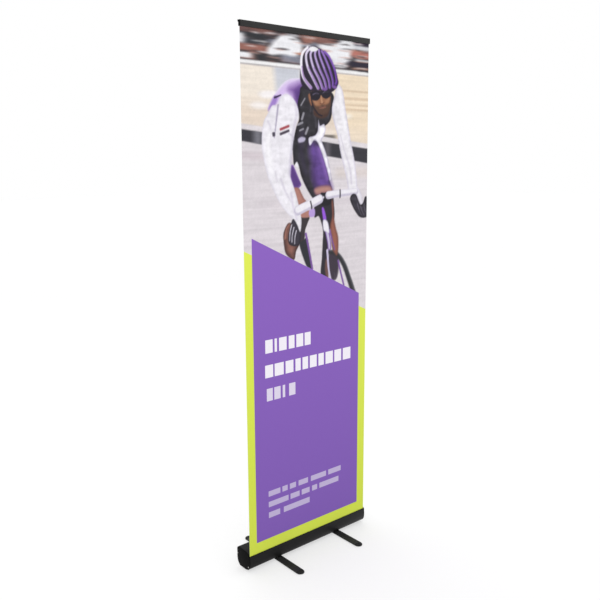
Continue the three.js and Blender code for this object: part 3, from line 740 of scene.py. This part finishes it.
def paintBars(p):
    p.fill([(356, 1345), (372, 1348), (408, 1345), (410, 1310), (395, 1300), (370, 1300), (358, 1310)],
           "232127")
    for u, v in ((371, 1331), (385, 1333), (398, 1330)):
        p.fill([(u - 3, v - 4), (u + 3, v - 4), (u + 3, v + 4), (u - 3, v + 4)], "cfcbd6", 2, False)
    p.stroke([(245, 1287), (300, 1306), (352, 1325)], "c6c0d2", 36, 34)
    p.stroke([(245, 1291), (300, 1310), (352, 1329)], "cloth", 25, 22, 6)
    p.stroke([(395, 1338), (450, 1343), (540, 1348)], "c6c0d2", 30, 24)
    p.stroke([(395, 1342), (450, 1347), (540, 1352)], "cloth", 20, 14, 6)
    p.stroke([(306, 1318), (311, 1302), (312, 1286)], "35313c", 6)
    p.stroke([(455, 1356), (456, 1342), (455, 1328)], "35313c", 6)
    p.fill([(300, 1284), (325, 1290), (326, 1264), (302, 1262)], "b59ad8")
    p.fill([(222, 1258), (240, 1238), (252, 1212), (258, 1200), (248, 1160), (205, 1165), (198, 1195),
            (208, 1230)], "glove", rim="24212a", rimWidth=9)
    for start, end in (((215, 1237), (205, 1180)), ((226, 1227), (216, 1174)), ((237, 1214), (229, 1167))):
        p.dash(start, end, "d6d1de", 4, 3, bend=-3)
    p.fill([(508, 1320), (520, 1338), (540, 1336), (553, 1314), (566, 1296), (580, 1304), (590, 1326),
            (604, 1318), (604, 1256), (588, 1244), (562, 1248), (545, 1262), (524, 1288)],
           "glove", rim="1c1a20", rimWidth=10, folds=0.6)
    for low, high in (((548, 1300), (570, 1256)), ((566, 1290), (584, 1256)), ((584, 1300), (597, 1262))):
        p.dash(low, high, "7d7686", 3, 2, 4, 0.7, bend=-2)


head = {
    "middle": 359,
    "helmetEdge": 1716,
    "halfWidth": 47,
    "heightShare": 1.3,  # its height, as a share of its width
    "covered": 0.4,  # how far the helmet's edge is above its middle, as a share of half its height
    "tilt": 11,  # degrees
}
# equal thirds from the hairline, at 1, to the chin, at -1
brow, noseBase, mouth = 1 / 3, -1 / 3, -5 / 9


def paintHead(p):
    turn = radians(head["tilt"])
    halfHeight = head["halfWidth"] * head["heightShare"]
    middle = (head["middle"], head["helmetEdge"] - head["covered"] * halfHeight)

    def on(*spots):  # places on the face: x and y run from -1 to 1
        made = []
        for x, y in spots:
            a, b = x * head["halfWidth"], y * halfHeight
            made.append((middle[0] + a * cos(turn) - b * sin(turn),
                         middle[1] + a * sin(turn) + b * cos(turn)))
        return made

    p.fill(on((-0.7, -0.4), (0.5, -0.6), (0.5, -1.05), (-0.2, -1.2), (-1.0, -0.9)), "4a342e", 8)
    p.fill(on((-1.1, 0.36), (-1.3, 0.3), (-1.3, 0), (-1.16, noseBase), (-1, -0.28), (-1, 0.3)),
           "face", rim="6b4538", rimWidth=7)
    jaw = [(-0.98, -0.15), (-0.84, -0.58), (-0.48, -0.92), (0, -1), (0.48, -0.92), (0.84, -0.58)]
    p.fill(on((-1, brow), *jaw, (0.98, -0.15), (1, brow), (0.7, 0.85), (0, 1), (-0.7, 0.85)), "face",
           rim="714b3b", rimWidth=12)
    beard = [(-0.98, -0.12), (-0.85, -0.6), (-0.48, -0.94), (0, -1.03), (0.48, -0.94), (0.85, -0.6)]
    p.fill(on(*beard, (0.98, -0.12), (0.74, -0.38), (0.36, -0.46), (0, -0.42), (-0.36, -0.46),
              (-0.74, -0.38)), "beard", 7, share=0.75)
    p.stroke(on((-0.02, brow), (-0.01, 0), (0, noseBase + 0.06)), "faceLight", 5, 9, 6)
    p.stroke(on((-0.2, noseBase + 0.02), (0, noseBase - 0.04), (0.2, noseBase + 0.02)), "6f4a3c", 3, soft=4)
    p.stroke(on((-0.3, mouth), (0, mouth - 0.03), (0.3, mouth)), "9c6a5c", 6, 6, 4)  # closed, at rest
    p.stroke(on((-0.33, mouth + 0.01), (0, mouth - 0.01), (0.33, mouth + 0.01)), "4f342d", 2)
    for side in (-1, 1):
        p.stroke(on((0.74 * side, -0.12), (0.64 * side, -0.24), (0.48 * side, -0.28)), "faceLight",
                 9, 7, 12, 0.6)
    p.fill(on((-1.06, brow + 0.06), (-0.5, brow + 0.12), (0, brow + 0.06), (0.5, brow + 0.12),
              (1.06, brow + 0.06), (0.98, 0), (0.5, -0.12), (0.14, 0), (0, 0.14), (-0.14, 0),
              (-0.5, -0.12), (-0.98, 0)), "glass", 3)
    for side in (-1, 1):
        p.stroke(on((0.8 * side, 0.26), (0.5 * side, 0.3), (0.22 * side, 0.24)), "7c7392", 4, 2, 4, 0.7)
    p.stroke(on((-1.02, brow), (-1.0, -0.3), (-0.6, -0.86), (-0.2, -1.04)), "231e29", 5)


def paintHelmet(p):
    p.fill([(258, 1760), (262, 1800), (275, 1835), (295, 1858), (320, 1868), (345, 1864), (375, 1850),
            (405, 1825), (428, 1795), (440, 1765), (443, 1745), (425, 1722), (400, 1712), (360, 1716),
            (330, 1712), (300, 1712), (275, 1720), (262, 1738)], "helmet")
    for index in range(7):  # ribs fan out from the crown, white on the left and violet on the right
        share = index / 6
        shade = ink("f0edf6") * (1 - share) + ink("ribFar") * share
        line = [(294 + 80 * share, 1860 - 8 * share), (269 + 128 * share ** 1.1, 1836),
                (264 + 160 * share ** 0.95, 1795), (274 + 160 * share ** 0.7, 1756),
                (308 + 122 * share ** 0.7, 1724 + 20 * share ** 3)]
        p.stroke(line, shade, 9, 12 - 3 * share, 4)
        p.stroke([(u + 3, v - 2) for u, v in line[2:]], shade * (0.6, 0.42, 0.72), 3, 9, 5, 0.8)
    p.fill([(300, 1854), (312, 1864), (328, 1865), (345, 1858), (330, 1850), (312, 1848)], "white")
    for u, v in ((425, 1732), (376, 1722)):
        p.fill([(u - 12, v), (u, v + 6), (u + 12, v), (u, v - 6)], "violet")


texture = {"blur": 26, "streaks": 0.045, "mottle": 0.03}  # blur in mm, the others as shares of the ink


def paintArtwork(across, up):
    picture = Picture(across, up)
    paintBoards(picture)
    paintFloor(picture)
    paintCrowd(picture)
    picture.smear(texture["blur"])
    streaks = picture.cloud(220, 5, 11) + picture.cloud(90, 12, 12) - 1
    picture.colour *= 1 + texture["streaks"] * streaks[..., None]
    for layer in (paintWheel, paintLegs, paintFork, paintBack, paintTorso, paintSleeves, paintBars,
                  paintHead, paintHelmet):
        layer(picture)
    mottle = picture.cloud(9, 9, 21) + picture.cloud(3, 3, 22) - 1
    picture.colour *= 1 + texture["mottle"] * mottle[..., None]
    return np.clip(picture.colour, 0, 1)


# The sheet: a thin closed skin, fine where the picture is and coarse below it

sheetLow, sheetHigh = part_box("printed_sheet")
sheet = {
    "width": sheetHigh.x - sheetLow.x,
    "length": sheetHigh.z - sheetLow.z,
    "hidden": 0.002,  # the strip inside the cassette's slot
    "cell": 0.003,
    "coarseCell": 0.029,
    "pictureFrom": 0.87,  # height of the lowest inked cell above the slot
    "curl": 0.0002,  # how far the side edges curl back half way up
    "packed": 0.0144,  # share of its length that stays out when the rail is down
}


def makeSheet():
    columns = np.linspace(sheetLow.x, sheetHigh.x, round(sheet["width"] / sheet["cell"]) + 1)
    join = sheetLow.z + sheet["hidden"] + sheet["pictureFrom"]
    coarse = np.linspace(sheetLow.z, join, round((join - sheetLow.z) / sheet["coarseCell"]) + 1)
    fine = np.linspace(join, sheetHigh.z, round((sheetHigh.z - join) / sheet["cell"]) + 1)
    rows = np.concatenate([coarse[:-1], fine])
    x, z = np.meshgrid(columns, rows)
    height = (z - sheetLow.z) / sheet["length"]
    edge = np.abs(x) / sheetHigh.x
    curl = sheet["curl"] * edge ** 8 * np.sin(pi * height) ** 0.5
    front = np.stack([x, sheetLow.y + curl, z], -1)
    back = front[:, [0, -1]] + (0, sheetHigh.y - sheetLow.y, 0)
    high, wide = x.shape
    count = high * wide
    index = np.arange(count).reshape(high, wide)
    left = count + 2 * np.arange(high)
    right = left + 1

    cells = [index[:-1, :-1], index[:-1, 1:], index[1:, 1:], index[1:, :-1]]
    faces = np.stack(cells, -1).reshape(-1, 4).tolist()
    printed = len(faces)
    for i in range(high - 1):
        faces.append((right[i], left[i], left[i + 1], right[i + 1]))
        faces.append((left[i], index[i, 0], index[i + 1, 0], left[i + 1]))
        faces.append((index[i, -1], right[i], right[i + 1], index[i + 1, -1]))
    faces.append((left[0], right[0], *index[0, ::-1]))
    faces.append((right[-1], left[-1], *index[-1]))
    mesh = bpy.data.meshes.new("printedSheet")
    mesh.from_pydata(np.concatenate([front.reshape(-1, 3), back.reshape(-1, 3)]).tolist(), [],
                     [[int(corner) for corner in face] for face in faces])
    piece = bpy.data.objects.new("printedSheet", mesh)
    bpy.context.collection.objects.link(piece)
    print("sheet mesh:", len(mesh.polygons), "faces")

    spots = np.empty(len(mesh.vertices) * 3)
    mesh.vertices.foreach_get("co", spots)
    spots = spots.reshape(-1, 3)
    corner = np.empty(len(mesh.loops), int)
    mesh.loops.foreach_get("vertex_index", corner)
    flat = (spots[:, ::2] - (sheetLow.x, sheetLow.z)) / (sheet["width"], sheet["length"])
    mesh.uv_layers.new(name="print").data.foreach_set("uv", flat[corner].ravel())

    across = (columns - sheetLow.x) * 1000
    up = (fine - sheetLow.z - sheet["hidden"]) * 1000
    picture = linear(paintArtwork(across, up))
    colour = np.ones((len(mesh.vertices), 4))
    start = (high - len(fine)) * wide
    colour[start:count, :3] = picture.reshape(-1, 3)
    mesh.color_attributes.new("ink", "FLOAT_COLOR", "POINT").data.foreach_set("color", colour.ravel())

    fitIn(piece, "printed_sheet", makeFilmPrint())
    mesh.materials.append(makeFilmBack("filmBack", film["backTone"]))
    which = np.ones(len(mesh.polygons), int)
    which[:printed] = 0
    mesh.polygons.foreach_set("material_index", which)
    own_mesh(piece)
    print("printed sheet made")


# Hard pieces

smoothBelow = radians(32)  # faces that meet at less than this belong to one round surface


def refine(node, material, rounding, segments=2):
    # a copy of a CAD node with its edges broken and its round faces smooth
    piece = bpy.data.objects.new(camel(node), frame["nodes"][node].data.copy())
    bpy.context.collection.objects.link(piece)
    takeUp(piece)
    bpy.ops.object.mode_set(mode="EDIT")
    bpy.ops.mesh.select_all(action="SELECT")
    bpy.ops.mesh.remove_doubles(threshold=0.00001)
    bpy.ops.mesh.dissolve_limited(angle_limit=radians(1))
    bpy.ops.mesh.normals_make_consistent(inside=False)
    bpy.ops.object.mode_set(mode="OBJECT")
    if rounding:
        addModifier(piece, "BEVEL", width=rounding, segments=segments, limit_method="ANGLE",
                    angle_limit=smoothBelow)
    applyAll(piece)
    bpy.ops.object.shade_smooth_by_angle(angle=smoothBelow)
    return fitIn(piece, node, material)


def chosenFaces(piece, wanted):  # selects the faces that wanted(face) accepts, in edit mode
    takeUp(piece)
    bpy.ops.object.mode_set(mode="EDIT")
    bpy.ops.mesh.select_mode(type="FACE")
    bpy.ops.mesh.select_all(action="DESELECT")
    bpy.ops.object.mode_set(mode="OBJECT")
    for face in piece.data.polygons:
        face.select = wanted(face)
    bpy.ops.object.mode_set(mode="EDIT")


tube = {"wall": 0.001, "sides": 64, "lip": 0.0003125}  # lip is the rounding of its ends


def makeTube(node, material):
    low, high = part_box(node)
    letGo()
    bpy.ops.mesh.primitive_cylinder_add(vertices=tube["sides"], radius=(high.x - low.x) / 2,
                                        depth=high.z - low.z, end_fill_type="NOTHING",
                                        location=(low + high) / 2)
    piece = bpy.context.object
    addModifier(piece, "SOLIDIFY", thickness=tube["wall"], offset=-1)
    addModifier(piece, "BEVEL", width=tube["lip"], segments=3, limit_method="ANGLE",
                angle_limit=radians(40))
    applyAll(piece)
    bpy.ops.object.shade_smooth_by_angle(angle=radians(40))
    return fitIn(piece, node, material)


def cut(piece, cutters):
    for cutter in cutters:
        addModifier(piece, "BOOLEAN", object=cutter, operation="DIFFERENCE", solver="EXACT")
    applyAll(piece)
    for cutter in cutters:
        bpy.data.objects.remove(cutter)


# rim and well as shares of its width
knob = {"rim": 0.78, "well": 0.6, "dish": 0.0008, "rounding": 0.0004}


def makeKnob(node, material):  # lobed, with a dished outer face
    piece = refine(node, material, knob["rounding"])
    low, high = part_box(node)
    middle = ((low.x + high.x) / 2, high.y, (low.z + high.z) / 2)
    chosenFaces(piece, lambda face: face.normal.y > 0.95 and face.center.y > high.y - 0.0001)
    for share, depth in ((knob["rim"], 0), (knob["well"] / knob["rim"], knob["dish"])):
        bpy.ops.mesh.extrude_region_move()
        bpy.ops.transform.resize(value=(share, 1, share), center_override=middle)
        bpy.ops.transform.translate(value=(0, -depth, 0))
    bpy.ops.object.mode_set(mode="OBJECT")
    bpy.ops.object.shade_smooth_by_angle(angle=radians(40))


screw = {"slotWidth": 0.0006, "slotReach": 0.0034, "slotDepth": 0.0007, "rounding": 0.0004}


def makeScrew(node, material):  # cross recess in the head, which faces away from the middle
    piece = refine(node, material, screw["rounding"], 3)
    low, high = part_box(node)
    outside = high.x if high.x > 0 else low.x
    centre = (outside, (low.y + high.y) / 2, (low.z + high.z) / 2)
    cutters = []
    for size in ((screw["slotWidth"], screw["slotReach"]), (screw["slotReach"], screw["slotWidth"])):
        letGo()
        bpy.ops.mesh.primitive_cube_add(size=1, location=centre)
        cutters.append(bpy.context.object)
        cutters[-1].scale = (2 * screw["slotDepth"], *size)
    cut(piece, cutters)


studio = {"floorSize": 60, "floorShades": (0.42, 0.44), "floorGlow": 0.56, "worldGlow": 1.0}
lights = [  # name, place, size and power
    ("keyLight", (-2.6, -2.6, 3.4), 2.2, 14),
    ("topLight", (0.8, 1.4, 3.6), 2.5, 10),
]


def makeStage():
    letGo()
    bpy.ops.mesh.primitive_grid_add(x_subdivisions=2, y_subdivisions=2, size=studio["floorSize"])
    floor = bpy.context.object
    floor.name = "studioFloor"
    recipe = Recipe("studioFloor")
    patches = recipe.noise(recipe.place(), 0.6, 2)
    recipe.give(base_color=recipe.mix(patches, *map(grey, studio["floorShades"])), roughness=0.9,
                specular_ior_level=0.1, emission_color=grey(1), emission_strength=studio["floorGlow"])
    floor.data.materials.append(recipe.material)

    world = bpy.data.worlds.new("studio")
    bpy.context.scene.world = world
    world.use_nodes = True
    sky = world.node_tree.nodes["Background"].inputs
    sky["Color"].default_value = grey(1)
    sky["Strength"].default_value = studio["worldGlow"]
    bpy.context.scene.view_settings.view_transform = "Standard"
    for name, place, size, energy in lights:
        letGo()
        bpy.ops.object.light_add(type="AREA", location=place)
        lamp = bpy.context.object
        lamp.name = name
        lamp.data.size, lamp.data.energy = size, energy
        aim = Vector((0, 0, 0.9)) - Vector(place)
        lamp.rotation_euler = aim.to_track_quat("-Z", "Y").to_euler()
    print("studio made")


camera = {
    "place": (-1.7392, -2.0624, 1.5251),
    "heading": 39.96,  # degrees from the Y axis towards X
    "pitch": -10.83,
    "roll": -0.28,
    "lens": 43.0,
}


def makeCamera():
    heading, pitch, roll = (radians(camera[key]) for key in ("heading", "pitch", "roll"))
    ahead = Vector((sin(heading) * cos(pitch), cos(heading) * cos(pitch), sin(pitch)))
    level = Vector((cos(heading), -sin(heading), 0))
    upward = level.cross(ahead)
    right = level * cos(roll) + upward * sin(roll)
    top = upward * cos(roll) - level * sin(roll)
    data = bpy.data.cameras.new("camera")
    data.lens, data.sensor_width = camera["lens"], 36
    made = bpy.data.objects.new("camera", data)
    bpy.context.collection.objects.link(made)
    turned = Matrix((right, top, -ahead)).transposed().to_4x4()
    made.matrix_world = Matrix.Translation(camera["place"]) @ turned
    bpy.context.scene.camera = made
    print("camera placed")


makeCamera()
makeStage()
makeSheet()

finishes = {
    "cassette": makeAnodised("blackAnodisedCassette", "X", 0.0115),
    "foot": makeAnodised("blackAnodisedFeet", "Y", 0.03),
    "pole": makeAnodised("blackAnodisedPole", "Z", 0.014),
    "rail": makeAnodised("charcoalAnodisedRail", "X", 0.035),
    "black_plastic": makePlastic("blackPlastic", plastic["tone"]),
    "tip": makePlastic("footTipPlastic", plastic["tipTone"]),
    "steel": makeMetal("brightSteel", metal["steel"]),
    "mill_aluminium": makeMetal("millAluminium", metal["aluminium"]),
    "nylon": makeNylon(),
    "rubber": makeRubber(),
    "elastic": makeBraid(),
    "leader_film": makeFilmBack("leaderFilm", film["leaderTone"]),
}
print("materials made")

ownFinish = {"cassette_body": "cassette", "rail_body": "rail", "foot_bar": "foot", "foot_tip": "tip"}
makers = {"cap_screw": makeScrew, "clip_knob": makeKnob}
roundings = {"rail_body": 0.00025, "foot_bar": 0.0004, "foot_tip": 0.0009, "end_cap": 0.0007,
             "rail_cap": 0.0005, "rail_clip": 0.0006, "foot_pad": 0.0004,
             "leader": 0, "roller_spring": 0, "elastic": 0}
usualRounding = 0.0003


def byStart(table, node, usual):  # the entry whose key the node's name starts with
    return next((value for start, value in table.items() if node.startswith(start)), usual)


for node in sorted(frame["nodes"]):
    if node == "printed_sheet":
        continue
    if node in ("pole_lower", "pole_middle", "pole_upper"):
        makeTube(node, finishes["pole"])
        continue
    finish = finishes[byStart(ownFinish, node, slotOf(node))]
    maker = byStart(makers, node, None)
    if maker:
        maker(node, finish)
    else:
        refine(node, finish, byStart(roundings, node, usualRounding))
print("hard pieces made")
